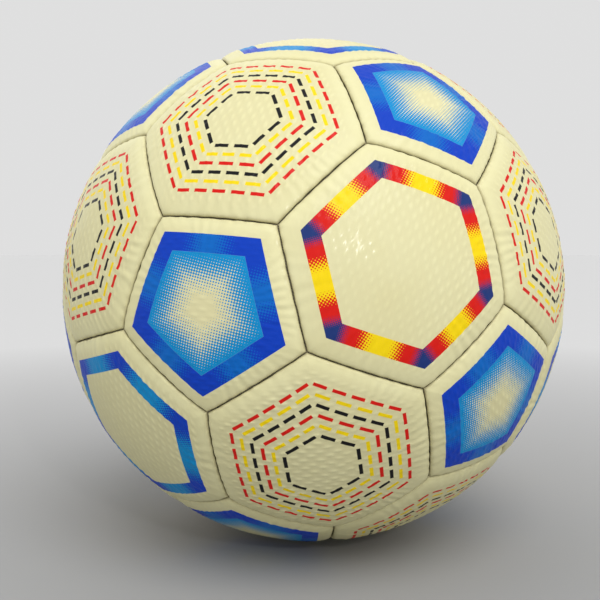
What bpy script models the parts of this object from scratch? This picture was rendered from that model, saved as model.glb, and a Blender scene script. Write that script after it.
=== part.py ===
"""A size 5 stitched soccer ball, as its separate pieces.

Metres, +Z up. The origin is the centre of the ball, and its front is towards -Y.

Thirty-two laminated panels, twelve pentagons and twenty hexagons, make the classic truncated
icosahedron. Each panel is a domed tray whose edge is turned inwards and stands back to back
with its neighbour's, and the seam thread runs in the channel between the two. The bladder
fills the inside, and its valve comes out through the middle of one hexagon.
"""

import math

import bmesh
import bpy
from mathutils import Euler, Matrix, Vector

# The ball
BALL_R = 0.110
SEAM_GAP = 0.0003
# How the ball lies: the hexagon in front faces a little to the right and a little up.
LIE = Euler([math.radians(angle) for angle in (50.0, 46.7, -69.0)])

# A panel's section. Insets run from the seam towards the middle, depths from the outer skin.
SHOULDER_INSET, SHOULDER_DEPTH = 0.0022, 0.00016
ROLL_INSET, ROLL_DEPTH = 0.0007, 0.0007
GROOVE_DEPTH = 0.0016
CHANNEL_INSET, CHANNEL_DEPTH = 0.0008, 0.0027
FLANGE_DEPTH = 0.0040
FLANGE_INSET = 0.0030
COVER_THICKNESS = 0.0030
COVER_INSET = 0.0033
SIDE_STEPS = 4

# The thread
THREAD_WIDTH = 0.0008

# The bladder
BLADDER_R = BALL_R - FLANGE_DEPTH - 0.0007
BLADDER_WALL = 0.0009
BLADDER_HOLE_R = 0.0045
BLADDER_RINGS = 14
BLADDER_STEPS = 28

# The valve, whose heights are distances from the centre of the ball
VALVE_HOLE_R = 0.0045
VALVE_HOLE_FACES = 32
VALVE_FACE_Z = BALL_R - 0.0003
STEM_R = 0.0041
STEM_CHAMFER = 0.0003
FLANGE_R = 0.0110
FLANGE_TOP_Z = 0.1029
FLANGE_THICKNESS = 0.0012
TUBE_R = 0.0036
TUBE_END_Z = 0.0930
BORE_R = 0.0026
BORE_TOP_Z = 0.1075
BORE_LIP_R = 0.0018
BORE_LIP = 0.0015
NEEDLE_HOLE_R = 0.0011
FUNNEL_R = 0.0018
FUNNEL_DEPTH = 0.0007
PLUG_CLEARANCE = 0.00035
PLUG_DIMPLE_R = 0.0009
PLUG_DIMPLE = 0.0015
PATCH_R = 0.0150
PATCH_THICKNESS = 0.0005
PATCH_GAP = 0.0003
TURNED_STEPS = 24

GOLDEN = (1 + math.sqrt(5)) / 2
# A truncated icosahedron's edge as a share of its corners' radius
EDGE_SHARE = 4 / math.sqrt(58 + 18 * math.sqrt(5))
# The middle of the panel that the valve comes out through, on the ball's cube
VALVE_CENTRE = Vector((-1, 1, -1))
SHARP_ANGLE = math.radians(35)
WELD = 0.00005


def clear_scene():
    for obj in list(bpy.data.objects):
        bpy.data.objects.remove(obj)


def new_collection(name):
    collection = bpy.data.collections.new(name)
    bpy.context.scene.collection.children.link(collection)
    return collection


# Materials


def plain_material(name, colour, roughness):
    made = bpy.data.materials.new(name)
    made.use_nodes = True
    shader = made.node_tree.nodes["Principled BSDF"]
    shader.inputs["Base Color"].default_value = (*colour, 1)
    shader.inputs["Roughness"].default_value = roughness
    shader.inputs["Metallic"].default_value = 0
    made.diffuse_color = (*colour, 1)
    return made


def pentagon_cover():
    return plain_material("pentagon_cover", (0.74, 0.71, 0.50), 0.35)


def burst_cover():
    return plain_material("burst_cover", (0.70, 0.66, 0.46), 0.35)


def warm_cover():
    return plain_material("warm_cover", (0.72, 0.62, 0.40), 0.35)


def cool_cover():
    return plain_material("cool_cover", (0.52, 0.66, 0.66), 0.35)


def thread_polyester():
    return plain_material("thread_polyester", (0.33, 0.30, 0.22), 0.80)


def bladder_rubber():
    return plain_material("bladder_rubber", (0.030, 0.030, 0.032), 0.60)


def valve_rubber():
    return plain_material("valve_rubber", (0.060, 0.060, 0.065), 0.50)


def plug_rubber():
    return plain_material("plug_rubber", (0.38, 0.30, 0.20), 0.55)


def patch_rubber():
    return plain_material("patch_rubber", (0.045, 0.045, 0.048), 0.70)


# Panels


def signed(values):
    """Every way of giving the values that aren't zero a sign."""
    points = [()]
    for value in values:
        signs = (1, -1) if value else (1,)
        points = [(*point, sign * value) for point in points for sign in signs]
    return points


def turned_round(values):
    """The signed points, and the same with their axes moved round."""
    return [
        Vector((*point[shift:], *point[:shift]))
        for shift in range(3)
        for point in signed(values)
    ]


def partner(centre, size):
    """The point across the nearest plane of the axes: the coordinate of this size changes sign."""
    return Vector([-x if abs(abs(x) - size) < 1e-6 else x for x in centre])


def panels():
    """(name, kind, sides, centre, a point that the panel's own X axis turns to) of each panel.

    X points at a corner of a pentagon and at the middle of a side of a hexagon.
    """
    found = []
    for number, centre in enumerate(turned_round((1, 0, GOLDEN)), 1):
        name = f"pentagon_panel_{number:02}"
        found.append((name, "pentagon", 5, centre, partner(centre, 1)))
    for number, centre in enumerate(turned_round((0, 1 / GOLDEN, GOLDEN)), 1):
        name = f"burst_hexagon_panel_{number:02}"
        found.append((name, "burst", 6, centre, partner(centre, 1 / GOLDEN)))
    corners = [Vector(point) for point in signed((1, 1, 1))]
    for kind, parity in (("warm", 1), ("cool", -1)):
        chosen = [c for c in corners if c.x * c.y * c.z == parity and c != VALVE_CENTRE]
        for number, centre in enumerate(chosen, 1):
            name = f"{kind}_hexagon_panel_{number}"
            found.append((name, kind, 6, centre, next_pentagon(centre)))
    valve_towards = next_pentagon(VALVE_CENTRE)
    found.append(("valve_hexagon_panel", "warm", 6, VALVE_CENTRE, valve_towards))
    return found


def next_pentagon(centre):
    """The centre of one of the pentagons beside a hexagon that lies on the ball's cube."""
    return Vector((centre.x, 0, centre.z * GOLDEN))


def panel_frame(centre, towards):
    """The matrix of axes with Z out through the panel's middle and X turned to a point."""
    out = centre.normalized()
    across = (towards - towards.dot(out) * out).normalized()
    return Matrix((across, out.cross(across), out)).transposed()


def tilt_of_corner(sides):
    """The angle between the panel's middle and its corners, from the centre of the ball."""
    return math.asin(EDGE_SHARE / (2 * math.sin(math.pi / sides)))


def apothem(sides):
    """From the middle to a side, on the plane that touches the ball at the panel's middle."""
    return BALL_R * math.tan(tilt_of_corner(sides)) * math.cos(math.pi / sides)


def outline(sides):
    """The panel's outline on the plane that touches the ball at its middle, anticlockwise."""
    tilt = tilt_of_corner(sides)
    first = 0 if sides == 5 else math.pi / 6
    corners = []
    for side in range(sides):
        turn = first + side * 2 * math.pi / sides
        corners.append(Vector((math.cos(turn), math.sin(turn), 1 / math.tan(tilt))).normalized())
    points = []
    for side, corner in enumerate(corners):
        following = corners[(side + 1) % sides]
        for step in range(SIDE_STEPS):
            point = corner.slerp(following, step / SIDE_STEPS)
            points.append(Vector((point.x, point.y)) * BALL_R / point.z)
    return points


def ring(sides, inset, depth):
    """The outline moved in from the seam and down from the skin, from the centre of the ball."""
    share = 1 - inset / apothem(sides)
    return [
        Vector((point.x * share, point.y * share, BALL_R)).normalized() * (BALL_R - depth)
        for point in outline(sides)
    ]


def share_of_way(sides, share):
    """The inset of the ring that lies this share of the way from the seam to the middle."""
    return share * apothem(sides)


def loft(mesh, rings):
    """Skins the rings, each of them to the next, and returns the first and last ones' edges."""
    loops = []
    for positions in rings:
        made = bmesh.ops.create_circle(mesh, segments=len(positions), radius=1)
        for vertex, position in zip(made["verts"], positions, strict=True):
            vertex.co = position
        loops.append(list({edge for vertex in made["verts"] for edge in vertex.link_edges}))
    for one, following in zip(loops, loops[1:]):
        bmesh.ops.bridge_loops(mesh, edges=one + following)
    return loops[0], loops[-1]


def close_round(mesh, edges, depth):
    """Fills a ring with a fan round the middle of the panel."""
    cap = bmesh.ops.edgeloop_fill(mesh, edges=edges)["faces"]
    middle = bmesh.ops.poke(mesh, faces=cap)["verts"][0]
    middle.co = (0, 0, BALL_R - depth)


def finished(mesh, name):
    """The closed mesh as data, with its faces pointing out."""
    bmesh.ops.recalc_face_normals(mesh, faces=mesh.faces)
    if mesh.calc_volume(signed=True) < 0:
        bmesh.ops.reverse_faces(mesh, faces=mesh.faces)
    data = bpy.data.meshes.new(name)
    mesh.to_mesh(data)
    mesh.free()
    return data


def panel_mesh(name, sides):
    """A domed tray: skin, shoulder, groove, turned flange with the thread's channel, and lining."""
    edge = SEAM_GAP / 2
    section = (
        (share_of_way(sides, 2 / 3), 0),
        (share_of_way(sides, 1 / 3), 0),
        (edge + SHOULDER_INSET, SHOULDER_DEPTH),
        (edge + ROLL_INSET, ROLL_DEPTH),
        (edge, GROOVE_DEPTH),
        (edge + CHANNEL_INSET, CHANNEL_DEPTH),
        (edge, FLANGE_DEPTH),
        (FLANGE_INSET, FLANGE_DEPTH),
        (COVER_INSET, COVER_THICKNESS),
        (share_of_way(sides, 1 / 2), COVER_THICKNESS),
    )
    mesh = bmesh.new()
    skin, lining = loft(mesh, [ring(sides, inset, depth) for inset, depth in section])
    close_round(mesh, skin, 0)
    close_round(mesh, lining, COVER_THICKNESS)
    bmesh.ops.translate(mesh, verts=mesh.verts, vec=(0, 0, -BALL_R))
    return finished(mesh, name)


def add_panels(collection, cutters, ball):
    meshes = {5: panel_mesh("pentagon", 5), 6: panel_mesh("hexagon", 6)}
    covers = {
        "pentagon": pentagon_cover(),
        "burst": burst_cover(),
        "warm": warm_cover(),
        "cool": cool_cover(),
    }
    for name, kind, sides, centre, towards in panels():
        data = meshes[sides].copy()
        data.name = name
        axes = panel_frame(centre, towards)
        crown = centre.normalized() * BALL_R
        obj = add_object(name, data, covers[kind], collection, ball, axes, crown)
        if centre == VALVE_CENTRE:
            cut_valve_hole(obj, cutters, ball, axes)


def cut_valve_hole(panel, cutters, ball, axes):
    mesh = bmesh.new()
    bmesh.ops.create_cone(
        mesh,
        cap_ends=True,
        segments=VALVE_HOLE_FACES,
        radius1=VALVE_HOLE_R,
        radius2=VALVE_HOLE_R,
        depth=6 * COVER_THICKNESS,
        matrix=Matrix.Translation((0, 0, BALL_R)),
    )
    data = finished(mesh, "valve_hole_cutter")
    cutter = add_object("valve_hole_cutter", data, None, cutters, ball, axes, Vector())
    cutter.hide_render = True
    cutter.display_type = "WIRE"
    cut = panel.modifiers.new("valve_hole", "BOOLEAN")
    cut.operation = "DIFFERENCE"
    cut.object = cutter
    cut.solver = "EXACT"


# Thread


def add_thread(collection, ball):
    """One net of thread along every seam, in the channel between the flanges."""
    half = THREAD_WIDTH / 2
    section = (
        (0, CHANNEL_DEPTH - half),
        (half, CHANNEL_DEPTH),
        (0, CHANNEL_DEPTH + half),
    )
    mesh = bmesh.new()
    for _, _, sides, centre, towards in panels():
        axes = panel_frame(centre, towards)
        rings = [ring(sides, inset, depth) for inset, depth in section]
        loft(mesh, [[axes @ position for position in positions] for positions in rings])
    bmesh.ops.remove_doubles(mesh, verts=mesh.verts, dist=WELD)
    data = finished(mesh, "seam_thread")
    upright = Matrix.Identity(3)
    add_object("seam_thread", data, thread_polyester(), collection, ball, upright, Vector())


# Turned pieces


def add_turned(name, profile, steps, material, collection, ball, axes):
    """A profile of (radius, height) turned about the valve's axis. It runs down its outer side."""
    data = bpy.data.meshes.new(name)
    edges = [(i, i + 1) for i in range(len(profile) - 1)]
    if profile[0][0] > 0:
        edges.append((len(profile) - 1, 0))
    data.from_pydata([(x, 0, z) for x, z in profile], edges, [])
    obj = add_object(name, data, material, collection, ball, axes, Vector())
    screw = obj.modifiers.new("turn", "SCREW")
    screw.angle = 2 * math.pi
    screw.steps = steps
    screw.render_steps = steps
    screw.use_merge_vertices = True
    screw.merge_threshold = WELD
    screw.use_smooth_shade = True
    return obj


def arc(radius, start, end, count):
    """(radius, height) points on a circle round the centre of the ball, by angle from the axis."""
    angles = [start + (end - start) * i / count for i in range(count + 1)]
    return [(radius * math.sin(a), radius * math.cos(a)) for a in angles]


def on_axis(points):
    """The same points, with the one at a pole exactly on the axis."""
    return [(0 if x < 1e-6 else x, z) for x, z in points]


def add_bladder(collection, ball, axes):
    inner_r = BLADDER_R - BLADDER_WALL
    inner = arc(inner_r, math.pi, math.asin(BLADDER_HOLE_R / inner_r), BLADDER_RINGS)
    outer = arc(BLADDER_R, math.asin(BLADDER_HOLE_R / BLADDER_R), math.pi, BLADDER_RINGS)
    profile = on_axis(inner + outer)
    add_turned("bladder", profile, BLADDER_STEPS, bladder_rubber(), collection, ball, axes)


def add_valve_patch(collection, ball, axes):
    """The reinforcing ring that is bonded to the bladder round the valve."""
    low = BLADDER_R + PATCH_GAP
    high = low + PATCH_THICKNESS
    outer = arc(high, math.asin(BLADDER_HOLE_R / high), math.asin(PATCH_R / high), 2)
    inner = arc(low, math.asin(PATCH_R / low), math.asin(BLADDER_HOLE_R / low), 2)
    add_turned(
        "valve_patch", outer + inner, TURNED_STEPS, patch_rubber(), collection, ball, axes
    )


def add_valve_housing(collection, ball, axes):
    """The moulded stem, its flange inside the bladder, and the tube that grips the plug."""
    flange_foot = FLANGE_TOP_Z - FLANGE_THICKNESS
    profile = [
        (STEM_R - STEM_CHAMFER, VALVE_FACE_Z),
        (STEM_R, VALVE_FACE_Z - STEM_CHAMFER),
        (STEM_R, FLANGE_TOP_Z),
        (FLANGE_R, FLANGE_TOP_Z),
        (FLANGE_R, flange_foot),
        (TUBE_R, flange_foot - FLANGE_THICKNESS),
        (TUBE_R, TUBE_END_Z),
        (BORE_LIP_R, TUBE_END_Z),
        (BORE_LIP_R, TUBE_END_Z + BORE_LIP),
        (BORE_R, TUBE_END_Z + BORE_LIP),
        (BORE_R, BORE_TOP_Z),
        (NEEDLE_HOLE_R, BORE_TOP_Z),
        (NEEDLE_HOLE_R, VALVE_FACE_Z - FUNNEL_DEPTH),
        (FUNNEL_R, VALVE_FACE_Z),
    ]
    add_turned("valve_housing", profile, TURNED_STEPS, valve_rubber(), collection, ball, axes)


def add_valve_plug(collection, ball, axes):
    """The self-sealing plug: a needle parts it at the dimple, and it closes again."""
    plug_r = BORE_R - PLUG_CLEARANCE
    top = BORE_TOP_Z - PLUG_CLEARANCE
    bottom = TUBE_END_Z + BORE_LIP + PLUG_CLEARANCE
    profile = [
        (0, top - PLUG_DIMPLE),
        (PLUG_DIMPLE_R, top),
        (plug_r, top),
        (plug_r, bottom),
        (0, bottom),
    ]
    add_turned("valve_plug", profile, TURNED_STEPS, plug_rubber(), collection, ball, axes)


def add_object(name, data, material, collection, ball, axes, position):
    """An object of the ball: axes and position are the ball's own, before it is laid down."""
    obj = bpy.data.objects.new(name, data)
    collection.objects.link(obj)
    if material:
        data.materials.append(material)
    obj.parent = ball
    obj.matrix_local = Matrix.Translation(position) @ axes.to_4x4()
    if data.polygons:
        data.shade_smooth()
        data.set_sharp_from_angle(angle=SHARP_ANGLE)
    return obj


def main():
    clear_scene()
    pieces = new_collection("soccer_ball")
    cutters = new_collection("cutters")
    ball = bpy.data.objects.new("ball_centre", None)
    pieces.objects.link(ball)
    ball.rotation_euler = LIE
    add_panels(pieces, cutters, ball)
    add_thread(pieces, ball)
    valve_axes = panel_frame(VALVE_CENTRE, next_pentagon(VALVE_CENTRE))
    add_bladder(pieces, ball, valve_axes)
    add_valve_patch(pieces, ball, valve_axes)
    add_valve_housing(pieces, ball, valve_axes)
    add_valve_plug(pieces, ball, valve_axes)


main()
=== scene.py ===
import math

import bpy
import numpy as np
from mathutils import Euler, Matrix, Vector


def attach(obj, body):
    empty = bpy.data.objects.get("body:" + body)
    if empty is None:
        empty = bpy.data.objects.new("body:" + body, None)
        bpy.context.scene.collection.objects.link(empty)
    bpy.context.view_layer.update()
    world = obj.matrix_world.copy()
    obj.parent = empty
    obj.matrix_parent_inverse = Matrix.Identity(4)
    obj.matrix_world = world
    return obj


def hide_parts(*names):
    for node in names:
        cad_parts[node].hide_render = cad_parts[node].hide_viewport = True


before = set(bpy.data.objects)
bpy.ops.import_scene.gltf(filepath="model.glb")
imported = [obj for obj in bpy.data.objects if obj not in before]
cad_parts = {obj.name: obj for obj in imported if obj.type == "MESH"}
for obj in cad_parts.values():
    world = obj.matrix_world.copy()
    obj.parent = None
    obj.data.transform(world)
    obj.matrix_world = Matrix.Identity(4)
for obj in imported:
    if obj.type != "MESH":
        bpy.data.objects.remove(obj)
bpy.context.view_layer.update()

# The looks of a 32-panel stitched soccer ball. Metres, +Z up, the front towards -Y.
#
# Every panel is rebuilt as a fine closed mesh over its CAD tray: a dome with the embossed
# grain, edges that roll down into the seam, and the puckers that the stitches pull. The print
# is drawn by formula on each panel's own flat plane, on which its sides and outlines are straight.

# The ball, as in the CAD source
BALL_R = 0.110
SEAM_GAP = 0.0003
LIE = Euler([math.radians(angle) for angle in (50.0, 46.7, -69.0)])
CHANNEL_INSET, CHANNEL_DEPTH = 0.0008, 0.0027
FLANGE_INSET, FLANGE_DEPTH = 0.0030, 0.0040
LINING_INSET, LINING_DEPTH = 0.0033, 0.0030
VALVE_HOLE_R = 0.0045
GOLDEN = (1 + math.sqrt(5)) / 2
EDGE_SHARE = 4 / math.sqrt(58 + 18 * math.sqrt(5))
VALVE_CENTRE = Vector((-1, 1, -1))
CORNER_TURN = {5: 0, 6: 30}

# The fine mesh of a panel
LATTICE_ROWS = 84
LATTICE_INSET = 0.0030
ROLL_INSETS = (0.0025, 0.0020, 0.0016, 0.0012, 0.0009, 0.0006, 0.0004, 0.0002, 0.00008, 0)
CHANNEL_ROUND, FLANGE_ROUND, FLANGE_BEVEL = 0.0007, 0.0002, 0.0003
LOWER_STEPS = 24
HOLE_BLEND_ROWS = 18
HOLE_WALL_DEPTH = 0.0012
FIRST_SEED = 1000

# How the skin is shaped near its seams
PUFF_REACH, PUFF_DEPTH = 0.0120, 0.00095
ROLL_R, ROLL_DEPTH = 0.0011, 0.0010
CORNER_REACH, CORNER_DEPTH = 0.0026, 0.00055
STITCHES_A_SIDE = 10
PUCKER_REACH, PUCKER_DEPTH = 0.0022, 0.00020
WRINKLE_REACH, WRINKLE_DEPTH = 0.0045, 0.00011
SWELLS, SWELL_DEPTH, SWELL_WAVES = 4, 0.00010, (0.15, 0.35)
LIP_R, LIP_DEPTH, LIP_CLEAR = 0.0009, 0.0006, (0.0010, 0.0030)
MEANDER, MEANDER_REACH = 0.00022, 0.0016

# The embossed grain: slanted rice-grain bumps in staggered columns
GRAIN_COLUMN, GRAIN_ROW = 0.00340, 0.00360
GRAIN_SLANT = math.radians(57)
GRAIN_LENGTH, GRAIN_WIDTH = 0.00150, 0.00060
GRAIN_HEIGHT = 0.00027
GRAIN_SHIFT, GRAIN_SWING, GRAIN_UNEVEN = 0.07, 0.16, 0.18
GRAIN_FADE = (0.0030, 0.0075)
GRAIN_TABLE = 64
PATCHES, PATCH_WAVES, PATCH_LEAST = 3, (0.16, 0.26), 0.45

# The print. Distances on a panel's plane are shares of the ball's radius.
PRINT_SHIFT, PRINT_TURN = 0.003, 0.5
LINE_EDGE = 0.0006
BAND_EDGE, BAND_WIDTH = 0.80, 0.062
MIDDLE_FADE = 0.03
ROYAL_FADE, RED_FADE, NAVY_FADE = (0.010, 0.100), (0.025, 0.085), (0.105, 0.150)
COOL_FADE = (0.030, 0.140)
DASH_ROW, DASH_PITCH, DASH_ROWS = 0.034, 0.066, (3, 8)
DASH_LENGTH, DASH_THICKNESS = 0.70, 0.38
DOT_PITCH, DOT_EDGE = 0.0128, 0.12
NAVY_PITCH, NAVY_TURN = 0.0080, 15
CREAM = (0.745, 0.710, 0.420)
ROYAL = (0.002, 0.046, 0.47)
MID_BLUE = (0.001, 0.125, 0.50)
CYAN = (0.002, 0.245, 0.56)
NAVY = (0.012, 0.034, 0.165)
RED = (0.64, 0.009, 0.005)
YELLOW = (0.86, 0.63, 0.003)
BLACK = (0.007, 0.007, 0.008)

# The cover's other colours, and its gloss
CREAM_DEEP = (0.715, 0.670, 0.370)
# Painted shade in the hollows between the grain's bumps
GRAIN_VALLEY_SHADE = (0.54, 0.485, 0.27)
# Flecked dust near the seams, which also serves as painted shade along the panels' edges
SEAM_DUST_AND_SHADE = (0.33, 0.27, 0.15)
# Dirt and painted shade down in the seam's groove
SEAM_DIRT_AND_SHADE = (0.170, 0.130, 0.070)
VALLEY_SHADE_SHARE, DUST_AND_SHADE_SHARE, DIRT_AND_SHADE_SHARE = 0.24, 0.42, 0.60
VALLEY_SHADE_FROM_SEAM_MM, DUST_AND_SHADE_FROM_SEAM_MM, DIRT_AND_SHADE_DEPTH_MM = (3.0, 8.0), (2.2, 0.2), (1.15, 2.30)
COVER_ROUGHNESS, COVER_WEAR, INK_GLOSS = 0.46, 0.16, 0.05
COVER_IOR, COVER_SPECULAR = 1.45, 0.10
COAT_WEIGHT, COAT_ROUGHNESS = 0.16, 0.14
PORE_SCALE = 2100.0
RELIEF = 0.0002

# The studio
FLOOR_RINGS, FLOOR_STEPS = (0.5, 2.0, 12.0), 96
# A painted shadow on the floor: darker near the ball, pale further away
FLOOR_NEAR, FLOOR_FAR = 0.08, 0.80
FLOOR_PAINTED_SHADOW, FLOOR_PALE = (0.31, 0.31, 0.31), (0.59, 0.59, 0.59)
KEY_POSITION, KEY_STRENGTH, KEY_SPREAD = (0.20, -0.58, 0.80), 1.60, 40.0
BACK_POSITION, BACK_STRENGTH, BACK_SPREAD = (-0.45, 0.80, 0.60), 0.45, 60.0
LAMP_POSITION, LAMP_POWER, LAMP_SIZE = (0.265, -0.90, 0.36), 1.0, 0.035
AIR_STRENGTH = 0.74
CAMERA_POSITION = (0.0, -0.3914, 0.0205)
CAMERA_DIP, CAMERA_YAW = 3.62, 0.83
CAMERA_LENS = 51.5


# Where the panels are, as in the CAD source


def signed(values):
    points = [()]
    for value in values:
        signs = (1, -1) if value else (1,)
        points = [(*point, sign * value) for point in points for sign in signs]
    return points


def turned_round(values):
    return [
        Vector((*point[shift:], *point[:shift]))
        for shift in range(3)
        for point in signed(values)
    ]


def partner(centre, size):
    return Vector([-x if abs(abs(x) - size) < 1e-6 else x for x in centre])


def next_pentagon(centre):
    return Vector((centre.x, 0, centre.z * GOLDEN))


def panels():
    """(node, kind, sides, centre, the point that the panel's X turns to) of each panel."""
    found = []
    for number, centre in enumerate(turned_round((1, 0, GOLDEN)), 1):
        name = f"pentagon_panel_{number:02}"
        found.append((name, "pentagon", 5, centre, partner(centre, 1)))
    for number, centre in enumerate(turned_round((0, 1 / GOLDEN, GOLDEN)), 1):
        name = f"burst_hexagon_panel_{number:02}"
        found.append((name, "burst", 6, centre, partner(centre, 1 / GOLDEN)))
    corners = [Vector(point) for point in signed((1, 1, 1))]
    for kind, parity in (("warm", 1), ("cool", -1)):
        chosen = [c for c in corners if c.x * c.y * c.z == parity and c != VALVE_CENTRE]
        for number, centre in enumerate(chosen, 1):
            name = f"{kind}_hexagon_panel_{number}"
            found.append((name, kind, 6, centre, next_pentagon(centre)))
    valve_towards = next_pentagon(VALVE_CENTRE)
    found.append(("valve_hexagon_panel", "warm", 6, VALVE_CENTRE, valve_towards))
    return found


def panel_frame(centre, towards):
    out = centre.normalized()
    across = (towards - towards.dot(out) * out).normalized()
    return Matrix((across, out.cross(across), out)).transposed()


def corner_reach(sides):
    """From the middle to a corner, on the plane that touches the ball, as a share of its radius."""
    return math.tan(math.asin(EDGE_SHARE / (2 * math.sin(math.pi / sides))))


def apothem(sides):
    return corner_reach(sides) * math.cos(math.pi / sides)


# The fine meshes


def smooth_step(low, high, values):
    t = np.clip((values - low) / (high - low), 0, 1)
    return t * t * (3 - 2 * t)


def ring_plan(sides, hole):
    """(share of the outline, points a side, depth below the skin or None, hole blend) of each ring."""
    plan = []
    far = 1 - LATTICE_INSET / (BALL_R * apothem(sides))
    first = 0
    if hole:
        first = round(LATTICE_ROWS * VALVE_HOLE_R / (BALL_R * apothem(sides)))
    for row in range(max(first, 1), LATTICE_ROWS + 1):
        blend = 0.0
        if hole:
            blend = 1 - float(smooth_step(0, HOLE_BLEND_ROWS, np.float64(row - first)))
        plan.append((far * row / LATTICE_ROWS, row, None, blend))
    edge = SEAM_GAP / 2
    for inset in ROLL_INSETS:
        plan.append((share_at(sides, edge + inset), LATTICE_ROWS, None, 0.0))
    for inset, depth in (
        (edge + CHANNEL_INSET * 0.3, CHANNEL_DEPTH - CHANNEL_ROUND),
        (edge + CHANNEL_INSET, CHANNEL_DEPTH),
        (edge, FLANGE_DEPTH - FLANGE_ROUND),
        (edge + FLANGE_BEVEL, FLANGE_DEPTH),
        (FLANGE_INSET, FLANGE_DEPTH),
        (LINING_INSET, LINING_DEPTH),
        (BALL_R * apothem(sides) / 2, LINING_DEPTH),
    ):
        plan.append((share_at(sides, inset), LOWER_STEPS, depth, 0.0))
    return plan


def share_at(sides, inset):
    return 1 - inset / (BALL_R * apothem(sides))


def bridged(first, second):
    """Triangles, or quads where the counts match, from one closed ring to the next outwards."""
    n, m = len(first), len(second)
    if n == m:
        return [
            (first[i], second[i], second[(i + 1) % n], first[(i + 1) % n]) for i in range(n)
        ]
    faces = []
    i = j = 0
    while i < n or j < m:
        if j >= m or (i < n and (i + 1) * m <= (j + 1) * n):
            faces.append((first[i % n], second[j % m], first[(i + 1) % n]))
            i += 1
        else:
            faces.append((first[i % n], second[j % m], second[(j + 1) % m]))
            j += 1
    return faces


class Plan:
    """The rings of one sort of panel, laid on its plane, and the faces between them."""

    def __init__(self, sides, hole):
        self.sides = sides
        self.hole = hole
        turns = math.radians(CORNER_TURN[sides]) + np.arange(sides + 1) * 2 * math.pi / sides
        corners = np.stack([np.cos(turns), np.sin(turns)], 1) * corner_reach(sides)
        self.corners = corners[:-1]
        self.count = 0
        self.laid = []
        if not hole:
            self.add(np.zeros((1, 2)), 0.0, np.nan, np.zeros(1))
        rings, hole_share = self.add_rings(corners)
        self.faces = []
        if not hole:
            inner = rings[0]
            n = len(inner)
            self.faces += [(0, inner[i], inner[(i + 1) % n]) for i in range(n)]
        for one, following in zip(rings, rings[1:]):
            self.faces += bridged(one, following)
        if hole:
            self.add_wall(rings, hole_share)
        else:
            last = rings[-1]
            n = len(last)
            self.faces += [(last[i], self.count, last[(i + 1) % n]) for i in range(n)]
            self.add(np.zeros((1, 2)), 0.0, LINING_DEPTH, np.zeros(1))
        self.flat, self.share, self.depth, self.along = map(np.concatenate, zip(*self.laid))
        self.loops = np.fromiter((v for face in self.faces for v in face), np.int32)
        sizes = np.array([len(face) for face in self.faces])
        self.starts = np.concatenate([[0], np.cumsum(sizes)[:-1]]).astype(np.int32)

    def add(self, flat, share, depth, along):
        """Lay these points, and return their numbers."""
        n = len(flat)
        self.laid.append((flat, np.full(n, share), np.full(n, depth), along))
        self.count += n
        return np.arange(self.count - n, self.count)

    def add_rings(self, corners):
        """(the closed rings from the middle outwards and back under, the first one's share)."""
        rings = []
        start_row = first_share = None
        gap = apothem(self.sides) / LATTICE_ROWS
        for size, steps, given, blend in ring_plan(self.sides, self.hole):
            t = np.arange(steps) / steps
            pairs = zip(corners, corners[1:])
            points = np.concatenate([a * (1 - t[:, None]) + b * t[:, None] for a, b in pairs])
            points *= size
            if start_row is None:
                start_row, first_share = steps, size
            if blend > 0:
                circle = VALVE_HOLE_R / BALL_R + (steps - start_row) * gap
                lengths = np.linalg.norm(points, axis=1, keepdims=True)
                points = points * (1 - blend) + points / lengths * circle * blend
            depth = np.nan if given is None else given
            rings.append(self.add(points, size, depth, np.tile(t, self.sides)))
        return rings, first_share

    def add_wall(self, rings, share):
        """Down the wall of the hole, and back to the lining."""
        around = np.concatenate([laid[0] for laid in self.laid])[rings[0]]
        upper, lower = (
            self.add(around.copy(), share, level, np.zeros(len(around)))
            for level in (HOLE_WALL_DEPTH, LINING_DEPTH)
        )
        self.faces += [face[::-1] for face in bridged(rings[0], upper)]
        self.faces += [face[::-1] for face in bridged(upper, lower)]
        self.faces += bridged(rings[-1], lower)


def grain(flat, random):
    """Height, 0 to 1, of slanted bumps in staggered columns, each a little different."""
    x = flat[:, 0] * BALL_R
    y = flat[:, 1] * BALL_R
    column = np.round(x / GRAIN_COLUMN)
    height = np.zeros(len(x))
    table = random.uniform(-1, 1, (4, GRAIN_TABLE, GRAIN_TABLE))
    for step in (-1, 0, 1):
        c = column + step
        shift = (c % 2) * 0.5
        row = np.round(y / GRAIN_ROW - shift)
        for up in (-1, 0, 1):
            r = row + up
            i = (c.astype(int) % GRAIN_TABLE, r.astype(int) % GRAIN_TABLE)
            dx = x - (c + GRAIN_SHIFT * table[0][i]) * GRAIN_COLUMN
            dy = y - (r + shift + GRAIN_SHIFT * table[1][i]) * GRAIN_ROW
            slant = GRAIN_SLANT + GRAIN_SWING * table[2][i]
            long = dx * np.cos(slant) + dy * np.sin(slant)
            wide = -dx * np.sin(slant) + dy * np.cos(slant)
            bump = np.exp(-((long / GRAIN_LENGTH) ** 2) - (wide / GRAIN_WIDTH) ** 2)
            tallness = (1 - GRAIN_UNEVEN) + GRAIN_UNEVEN * table[3][i]
            height = np.maximum(height, bump * tallness)
    return height


def patchy(flat, random):
    """0 to 1 over wide soft patches: the embossing is deeper in some places than in others."""
    total = np.zeros(len(flat))
    for _ in range(PATCHES):
        turn, phase = random.uniform(0, 2 * math.pi, 2)
        across = flat[:, 0] * math.cos(turn) + flat[:, 1] * math.sin(turn)
        total += np.sin(across / random.uniform(*PATCH_WAVES) + phase)
    return smooth_step(-1.5, 1.0, total)


def waves(values, lowest, highest, random, count=7):
    """A smooth random line of about -1 to 1, from whole waves between two counts a unit."""
    total = np.zeros(len(values))
    for _ in range(count):
        frequency = random.integers(lowest, highest + 1)
        total += np.sin(2 * math.pi * (frequency * values + random.uniform()))
    return total / math.sqrt(count)


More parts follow.
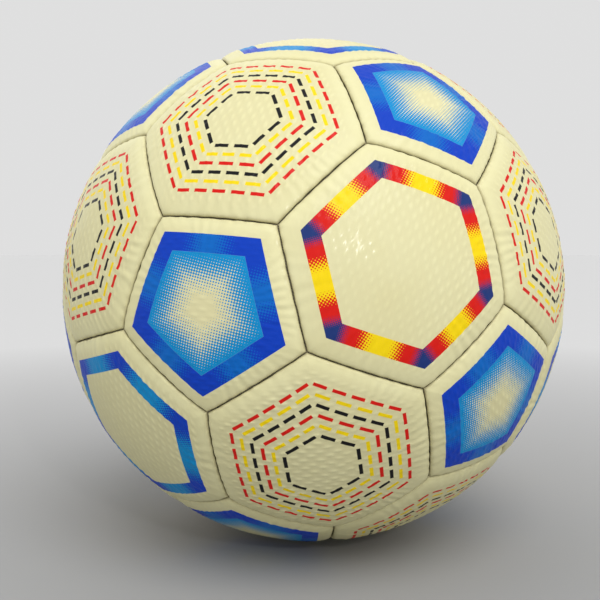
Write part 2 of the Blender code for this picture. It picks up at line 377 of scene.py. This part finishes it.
def panel_mesh(name, plan, axes, random):
    """One panel's mesh, in place on the ball. Every draw from the random source is in order."""
    flat, sides = plan.flat, plan.sides
    inset = (1 - plan.share) * BALL_R * apothem(sides)
    side = side_of(flat, sides)
    along = plan.along
    depth = PUFF_DEPTH * np.clip(1 - inset / PUFF_REACH, 0, 1) ** 3
    over = np.clip(1 - (inset - SEAM_GAP / 2) / ROLL_R, 0, 1)
    depth += ROLL_DEPTH * (1 - np.sqrt(1 - over**2))
    corner = np.min([np.linalg.norm(flat - c, axis=1) for c in plan.corners], axis=0) * BALL_R
    depth += CORNER_DEPTH * np.exp(-((corner / CORNER_REACH) ** 2))
    pulled = np.zeros(len(flat))
    for s in range(sides):
        here = side == s
        t = along[here]
        drift = np.clip(0.5 + 0.5 * waves(t, 2, 9, random, 5), 0, 1)
        reach = np.exp(-inset[here] / MEANDER_REACH) * np.sin(math.pi * t) ** 0.5
        pulled[here] = MEANDER * drift * reach
        pulls = 0.5 + 0.5 * np.cos(2 * math.pi * (STITCHES_A_SIDE * t + 0.5))
        uneven = 1 + 0.45 * waves(t, 1, 4, random, 3)
        near = np.exp(-((inset[here] / PUCKER_REACH) ** 2))
        depth[here] += PUCKER_DEPTH * pulls * uneven * near * np.sin(math.pi * t) ** 0.3
        reach = inset[here] / WRINKLE_REACH
        wrinkle = WRINKLE_DEPTH * waves(t, 4, 13, random) * reach * np.exp(1 - reach)
        depth[here] += wrinkle * np.sin(math.pi * t)
    for _ in range(SWELLS):
        turn = random.uniform(0, 2 * math.pi)
        wave = random.uniform(*SWELL_WAVES)
        phase = random.uniform(0, 2 * math.pi)
        across = flat[:, 0] * math.cos(turn) + flat[:, 1] * math.sin(turn)
        depth += SWELL_DEPTH / SWELLS * np.sin(across / wave * 2 * math.pi + phase)
    fade = smooth_step(*GRAIN_FADE, inset)
    if plan.hole:
        off_hole = np.linalg.norm(flat, axis=1) * BALL_R - VALVE_HOLE_R
        fade = fade * smooth_step(*LIP_CLEAR, off_hole)
        lip = np.clip(1 - off_hole / LIP_R, 0, 1)
        depth += LIP_DEPTH * (1 - np.sqrt(np.clip(1 - lip**2, 0, 1)))
    bumps = grain(flat, random) * fade
    bumps = bumps * (PATCH_LEAST + (1 - PATCH_LEAST) * patchy(flat, random))
    depth -= GRAIN_HEIGHT * bumps
    depth = np.where(np.isnan(plan.depth), depth, plan.depth)
    drawn_in = flat * (1 - pulled / (BALL_R * apothem(sides)))[:, None]
    out = np.concatenate([drawn_in, np.ones((len(flat), 1))], axis=1)
    out /= np.linalg.norm(out, axis=1, keepdims=True)
    points = (out * (BALL_R - depth)[:, None]) @ axes.T

    mesh = bpy.data.meshes.new(name)
    mesh.vertices.add(len(points))
    mesh.vertices.foreach_set("co", points.astype(np.float32).ravel())
    mesh.loops.add(len(plan.loops))
    mesh.loops.foreach_set("vertex_index", plan.loops)
    mesh.polygons.add(len(plan.faces))
    mesh.polygons.foreach_set("loop_start", plan.starts)
    mesh.update(calc_edges=True)
    mesh.shade_smooth()
    print_shift = random.uniform(-PRINT_SHIFT, PRINT_SHIFT, 2)
    turn = math.radians(random.uniform(-PRINT_TURN, PRINT_TURN))
    spin = np.array([[math.cos(turn), -math.sin(turn)], [math.sin(turn), math.cos(turn)]])
    printed = flat @ spin.T + print_shift
    layer = mesh.uv_layers.new(name="print_plane")
    layer.uv.foreach_set("vector", printed[plan.loops].astype(np.float32).ravel())
    for label, values in (("seam_mm", inset * 1000), ("depth_mm", depth * 1000), ("grain", bumps)):
        layer = mesh.attributes.new(label, "FLOAT", "POINT")
        layer.data.foreach_set("value", values.astype(np.float32))
    if mesh.validate():
        print("the mesh of", name, "had faults")
    return mesh


def side_of(flat, sides):
    """The number of the side that each point lies towards."""
    turn = np.arctan2(flat[:, 1], flat[:, 0]) - math.radians(CORNER_TURN[sides])
    return np.floor((turn % (2 * math.pi)) * sides / (2 * math.pi) + 1e-7).astype(int) % sides


# Materials: arithmetic on fields makes the nodes


class Field:
    """A number that changes over a surface. Arithmetic on it adds nodes to its material."""

    def __init__(self, tree, socket):
        self.tree = tree
        self.socket = socket

    def math(self, operation, *others, clamp=False):
        node = self.tree.nodes.new("ShaderNodeMath")
        node.operation = operation
        node.use_clamp = clamp
        for value, socket in zip((self, *others), node.inputs):
            join(self.tree, value, socket)
        return Field(self.tree, node.outputs[0])

    def __add__(self, other):
        return self.math("ADD", other)

    def __sub__(self, other):
        return self.math("SUBTRACT", other)

    def __mul__(self, other):
        return self.math("MULTIPLY", other)

    def __truediv__(self, other):
        return self.math("DIVIDE", other)

    def above(self, level, edge=LINE_EDGE):
        """1 where the field is over the level and 0 where it is under, with a soft edge."""
        return self.math("MULTIPLY_ADD", 1 / edge, 0.5 - level / edge, clamp=True)

    def below(self, level, edge=LINE_EDGE):
        return self.math("MULTIPLY_ADD", -1 / edge, 0.5 + level / edge, clamp=True)

    def between(self, low, high):
        return self.above(low) * self.below(high)

    def rise(self, low, high):
        """From 0 at low to 1 at high, in a straight line. Low may be over high."""
        return self.math("MULTIPLY_ADD", 1 / (high - low), -low / (high - low), clamp=True)


def join(tree, value, socket):
    if isinstance(value, Field):
        tree.links.new(value.socket, socket)
    elif isinstance(value, bpy.types.NodeSocket):
        tree.links.new(value, socket)
    else:
        socket.default_value = value


def with_alpha(colour):
    return (*colour, 1)


class Print:
    """A panel's print: its plane's coordinates, and the colour so far, which inks are laid on."""

    def __init__(self, tree):
        self.tree = tree
        uv = tree.nodes.new("ShaderNodeUVMap")
        uv.uv_map = "print_plane"
        parts = tree.nodes.new("ShaderNodeSeparateXYZ")
        tree.links.new(uv.outputs[0], parts.inputs[0])
        self.u = Field(tree, parts.outputs[0])
        self.v = Field(tree, parts.outputs[1])
        self.colour = None
        self.ink = None

    def turned(self, degrees):
        """(distance along a direction, distance to the left of it)."""
        c, s = math.cos(math.radians(degrees)), math.sin(math.radians(degrees))
        along = self.u.math("MULTIPLY_ADD", c, self.v * s)
        return along, self.v.math("MULTIPLY_ADD", c, self.u * -s)

    def lay(self, cover, colour):
        """Ink of this colour where the cover is 1."""
        self.colour = mixed(self.tree, cover, self.colour, colour)
        self.ink = cover if self.ink is None else self.ink.math("MAXIMUM", cover)

    def dots(self, level, turn=0, pitch=DOT_PITCH):
        """A halftone: the share of the surface that is covered goes with the level."""
        a, b = ((x * (2 * math.pi / pitch)).math("COSINE") for x in self.turned(turn))
        return (a * b).math("MULTIPLY_ADD", 0.5, level * 1.14 - 0.57).above(0, DOT_EDGE)


def mixed(tree, share, first, second):
    """The first colour where the share is 0, the second where it is 1."""
    node = tree.nodes.new("ShaderNodeMix")
    node.data_type = "RGBA"
    join(tree, share, node.inputs[0])
    for value, socket in ((first, node.inputs[6]), (second, node.inputs[7])):
        join(tree, with_alpha(value) if isinstance(value, tuple) else value, socket)
    return node.outputs[2]


def noise(tree, place, scale, detail=4.0, roughness=0.6):
    node = tree.nodes.new("ShaderNodeTexNoise")
    node.inputs["Scale"].default_value = scale
    node.inputs["Detail"].default_value = detail
    node.inputs["Roughness"].default_value = roughness
    tree.links.new(place, node.inputs["Vector"])
    return Field(tree, node.outputs["Fac"])


def object_position(tree):
    node = tree.nodes.new("ShaderNodeTexCoord")
    return node.outputs["Object"]


def attribute(tree, name):
    node = tree.nodes.new("ShaderNodeAttribute")
    node.attribute_name = name
    return Field(tree, node.outputs["Fac"])


def new_material(name):
    made = bpy.data.materials.new(name)
    made.use_nodes = True
    return made, made.node_tree, made.node_tree.nodes["Principled BSDF"]


def add_bump(tree, shader, relief, strength):
    bump = tree.nodes.new("ShaderNodeBump")
    bump.inputs["Strength"].default_value = strength
    bump.inputs["Distance"].default_value = RELIEF
    join(tree, relief, bump.inputs["Height"])
    tree.links.new(bump.outputs[0], shader.inputs["Normal"])


def cover_material(name, draw):
    """Glossy polyurethane over foam: cream and printed, with painted shade in the grain's hollows, and
    dust, dirt and painted shade in and near the seams.
    """
    made, tree, shader = new_material(name)
    place = object_position(tree)
    paper = Print(tree)
    cloudy = noise(tree, place, 28.0)
    paper.colour = mixed(tree, cloudy.rise(0.3, 0.7), CREAM_DEEP, CREAM)
    seam = attribute(tree, "seam_mm")
    depth = attribute(tree, "depth_mm")
    # Painted shade: the cream is darkened in the hollows between the grain's bumps, away from the
    # seams.
    valley_shade = attribute(tree, "grain").rise(0.55, 0.05) * seam.rise(*VALLEY_SHADE_FROM_SEAM_MM)
    paper.colour = mixed(tree, valley_shade * VALLEY_SHADE_SHARE, paper.colour, GRAIN_VALLEY_SHADE)
    draw(paper)
    # Dirt and painted shade: the deeper the skin lies in the seam's groove, the darker it is painted.
    down = depth.rise(*DIRT_AND_SHADE_DEPTH_MM)
    # Dust in flecks near the seams, and with it painted shade along the panels' edges there.
    flecks = noise(tree, place, 420.0, 3.0).rise(0.30, 0.75)
    dust_and_shade = seam.rise(*DUST_AND_SHADE_FROM_SEAM_MM) * flecks * DUST_AND_SHADE_SHARE
    paper.colour = mixed(tree, dust_and_shade, paper.colour, SEAM_DUST_AND_SHADE)
    paper.colour = mixed(tree, down * DIRT_AND_SHADE_SHARE, paper.colour, SEAM_DIRT_AND_SHADE)
    join(tree, paper.colour, shader.inputs["Base Color"])
    worn = noise(tree, place, 160.0)
    base = worn.math("MULTIPLY_ADD", COVER_WEAR, COVER_ROUGHNESS)
    rough = paper.ink.math("MULTIPLY_ADD", -INK_GLOSS, base) + down * 0.3
    join(tree, rough, shader.inputs["Roughness"])
    shader.inputs["IOR"].default_value = COVER_IOR
    shader.inputs["Specular IOR Level"].default_value = COVER_SPECULAR
    shader.inputs["Coat Weight"].default_value = COAT_WEIGHT
    shader.inputs["Coat Roughness"].default_value = COAT_ROUGHNESS
    leather = tree.nodes.new("ShaderNodeTexVoronoi")
    leather.inputs["Scale"].default_value = PORE_SCALE
    leather.feature = "F1"
    tree.links.new(place, leather.inputs["Vector"])
    pores = Field(tree, leather.outputs["Distance"])
    fine = noise(tree, place, 900.0, 2.0, 0.5)
    add_bump(tree, shader, pores * 0.6 + fine * 0.7 + paper.ink * 0.5, 0.16)
    return made


# The print: plain outlines and dashes, set out from each panel's own sides. The photo gave the
# colours, their order, the dot screens and which panels are alike. The shapes are not the photo's.


def nearest_side(paper, sides):
    """(distance along the nearest side from its middle, distance from the middle of the panel)."""
    first, step = CORNER_TURN[sides], 360 / sides
    turn = paper.v.math("ARCTAN2", paper.u) * (180 / math.pi)
    sector = ((turn - first) / step).math("FLOOR") + 0.5
    back = sector * -math.radians(step) - math.radians(first)
    c, s = back.math("COSINE"), back.math("SINE")
    return paper.u * s + paper.v * c, paper.u * c - paper.v * s


def outline(paper, sides):
    """(cover of a band that runs round inside the panel's edge, distance along a side from its
    middle, distance from the middle of the panel, and the band's inner edge)."""
    along, across = nearest_side(paper, sides)
    outer = BAND_EDGE * apothem(sides)
    inner = outer - BAND_WIDTH
    return across.between(inner, outer), along.math("ABSOLUTE"), across, inner


def draw_pentagon(paper):
    """A royal blue outline, lighter half way along each side, round dots that fade inwards."""
    band, off, across, inner = outline(paper, 5)
    paper.lay(across.below(inner) * paper.dots(across.rise(MIDDLE_FADE, inner)), CYAN)
    paper.lay(band, mixed(paper.tree, paper.dots(off.rise(*ROYAL_FADE)), MID_BLUE, ROYAL))


def draw_warm(paper):
    """An outline that goes from yellow through red to navy at the corners, screened between."""
    band, off, _, _ = outline(paper, 6)
    colour = mixed(paper.tree, paper.dots(off.rise(*RED_FADE)), YELLOW, RED)
    navy = paper.dots(off.rise(*NAVY_FADE), NAVY_TURN, NAVY_PITCH)
    paper.lay(band, mixed(paper.tree, navy, colour, NAVY))


def draw_cool(paper):
    """An outline that goes from cyan to royal blue at the corners, screened between."""
    band, off, _, _ = outline(paper, 6)
    paper.lay(band, mixed(paper.tree, paper.dots(off.rise(*COOL_FADE)), CYAN, ROYAL))


def draw_burst(paper):
    """Nested hexagons in black, yellow and red by turns, a whole number of dashes to a side."""
    tree = paper.tree
    along, across = nearest_side(paper, 6)
    rows = across / DASH_ROW
    row = rows.math("FLOOR")
    side = (row + 0.5) * (DASH_ROW * 2 * math.tan(math.pi / 6))
    steps = (along / side + 0.5) * (side / DASH_PITCH).math("ROUND")
    on = (steps.math("FRACT") - 0.5).math("ABSOLUTE").below(DASH_LENGTH / 2, 0.02)
    up = (rows.math("FRACT") - 0.5).math("ABSOLUTE").below(DASH_THICKNESS / 2, 0.05)
    first, last = DASH_ROWS
    inside = row.between(first - 0.5, last + 0.5)
    turn = (row / 3).math("FRACT")
    colour = mixed(tree, turn.above(1 / 6), BLACK, YELLOW)
    colour = mixed(tree, turn.above(1 / 2), colour, RED)
    paper.lay(on * up * inside, colour)


# The pieces that stay as the CAD has them


def rubber_material(name, colour, light, roughness, scale):
    """Moulded rubber: mottled, with a fine bloom and pits."""
    made, tree, shader = new_material(name)
    place = object_position(tree)
    cloudy = noise(tree, place, scale)
    bloom = noise(tree, place, scale * 6, 3.0)
    powder = tuple(0.5 * (x + 0.4) for x in light)
    tone = mixed(tree, cloudy.rise(0.3, 0.7), colour, light)
    tone = mixed(tree, bloom.rise(0.58, 0.80) * 0.35, tone, powder)
    join(tree, tone, shader.inputs["Base Color"])
    join(tree, bloom.math("MULTIPLY_ADD", 0.25, roughness), shader.inputs["Roughness"])
    add_bump(tree, shader, bloom, 0.25)
    return made


def thread_material():
    """Waxed polyester thread: fine slanted plies."""
    made, tree, shader = new_material("thread_polyester_waxed")
    place = object_position(tree)
    twist = tree.nodes.new("ShaderNodeTexWave")
    twist.bands_direction = "DIAGONAL"
    twist.inputs["Scale"].default_value = 700.0
    twist.inputs["Distortion"].default_value = 1.5
    tree.links.new(place, twist.inputs["Vector"])
    plies = Field(tree, twist.outputs["Fac"])
    dirt = noise(tree, place, 120.0, 3.0)
    tone = mixed(tree, plies, (0.30, 0.26, 0.16), (0.66, 0.60, 0.40))
    tone = mixed(tree, dirt.rise(0.45, 0.75) * 0.4, tone, (0.16, 0.12, 0.07))
    join(tree, tone, shader.inputs["Base Color"])
    join(tree, dirt.math("MULTIPLY_ADD", 0.2, 0.55), shader.inputs["Roughness"])
    add_bump(tree, shader, plies, 0.6)
    return made


def dress_nodes(nodes):
    finishes = {
        "seam_thread": thread_material(),
        "bladder": rubber_material(
            "bladder_butyl", (0.022, 0.022, 0.024), (0.045, 0.045, 0.048), 0.50, 40.0
        ),
        "valve_patch": rubber_material(
            "patch_butyl", (0.030, 0.030, 0.032), (0.060, 0.060, 0.064), 0.60, 90.0
        ),
        "valve_housing": rubber_material(
            "valve_moulded", (0.045, 0.045, 0.050), (0.085, 0.085, 0.092), 0.42, 220.0
        ),
        "valve_plug": rubber_material(
            "plug_latex", (0.33, 0.26, 0.17), (0.46, 0.37, 0.25), 0.48, 300.0
        ),
    }
    for name, material in finishes.items():
        for slot in nodes[name].material_slots:
            slot.material = material


# The covers


def add_covers():
    plans = {5: Plan(5, False), 6: Plan(6, False)}
    with_hole = Plan(6, True)
    materials = {
        "pentagon": cover_material("pentagon_cover_printed", draw_pentagon),
        "burst": cover_material("burst_cover_printed", draw_burst),
        "warm": cover_material("warm_cover_printed", draw_warm),
        "cool": cover_material("cool_cover_printed", draw_cool),
    }
    lie = LIE.to_matrix()
    for number, (node, kind, sides, centre, towards) in enumerate(panels()):
        plan = with_hole if centre == VALVE_CENTRE else plans[sides]
        name = "cover_" + node
        axes = np.array(lie @ panel_frame(centre, towards))
        mesh = panel_mesh(name, plan, axes, np.random.default_rng(FIRST_SEED + number))
        mesh.materials.append(materials[kind])
        cover = bpy.data.objects.new(name, mesh)
        bpy.context.scene.collection.objects.link(cover)
        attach(cover, "root")
        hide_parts(node)
        kind + "_cover"


# The studio


def add_stage():
    """A wide round floor with a painted shadow: darker below the ball, paler away from it."""
    steps = FLOOR_STEPS
    points = [(0, 0, -BALL_R)]
    for radius in FLOOR_RINGS:
        for step in range(steps):
            turn = step / steps * 2 * math.pi
            points.append((radius * math.cos(turn), radius * math.sin(turn), -BALL_R))
    faces = [(0, 1 + i, 1 + (i + 1) % steps) for i in range(steps)]
    for level in range(len(FLOOR_RINGS) - 1):
        one, two = 1 + level * steps, 1 + (level + 1) * steps
        for i in range(steps):
            j = (i + 1) % steps
            faces.append((one + i, two + i, two + j, one + j))
    mesh = bpy.data.meshes.new("studio_floor")
    mesh.from_pydata(points, [], faces)
    made, tree, shader = new_material("studio_pale")
    place = tree.nodes.new("ShaderNodeVectorMath")
    place.operation = "LENGTH"
    tree.links.new(object_position(tree), place.inputs[0])
    # Painted shadow: the floor's colour is darker close to the ball.
    away = Field(tree, place.outputs["Value"]).rise(FLOOR_NEAR, FLOOR_FAR)
    join(tree, mixed(tree, away, FLOOR_PAINTED_SHADOW, FLOOR_PALE), shader.inputs["Base Color"])
    shader.inputs["Roughness"].default_value = 1.0
    shader.inputs["Specular IOR Level"].default_value = 0.0
    mesh.materials.append(made)
    floor = bpy.data.objects.new("studio_floor", mesh)
    bpy.context.scene.collection.objects.link(floor)


def add_light(name, data, position):
    """A light at a position that shines at the ball."""
    light = bpy.data.objects.new(name, data)
    light.location = position
    light.rotation_euler = (-Vector(position)).to_track_quat("-Z", "Y").to_euler()
    bpy.context.scene.collection.objects.link(light)


def add_sky_panel(name, position, strength, spread):
    """A soft even light from far away: its spread is the angle that it fills."""
    data = bpy.data.lights.new(name, "SUN")
    data.energy = strength
    data.angle = math.radians(spread)
    add_light(name, data, position)


def add_studio():
    add_sky_panel("key_front_top", KEY_POSITION, KEY_STRENGTH, KEY_SPREAD)
    add_sky_panel("back_top", BACK_POSITION, BACK_STRENGTH, BACK_SPREAD)
    lamp = bpy.data.lights.new("lamp_small", "AREA")
    lamp.shape = "DISK"
    lamp.size = LAMP_SIZE
    lamp.energy = LAMP_POWER
    add_light("lamp_small", lamp, LAMP_POSITION)
    world = bpy.data.worlds.new("studio_air")
    world.use_nodes = True
    background = world.node_tree.nodes["Background"]
    background.inputs["Color"].default_value = (1.0, 1.0, 1.0, 1)
    background.inputs["Strength"].default_value = AIR_STRENGTH
    bpy.context.scene.world = world
    bpy.context.scene.view_settings.view_transform = "Standard"


def add_camera():
    data = bpy.data.cameras.new("camera")
    data.sensor_width = 36.0
    data.lens = CAMERA_LENS
    data.clip_start = 0.01
    data.clip_end = 20.0
    camera = bpy.data.objects.new("camera", data)
    camera.location = CAMERA_POSITION
    camera.rotation_euler = (math.radians(90 - CAMERA_DIP), 0, math.radians(CAMERA_YAW))
    bpy.context.scene.collection.objects.link(camera)
    bpy.context.scene.camera = camera


add_camera()
add_covers()
dress_nodes(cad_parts)
add_stage()
add_studio()
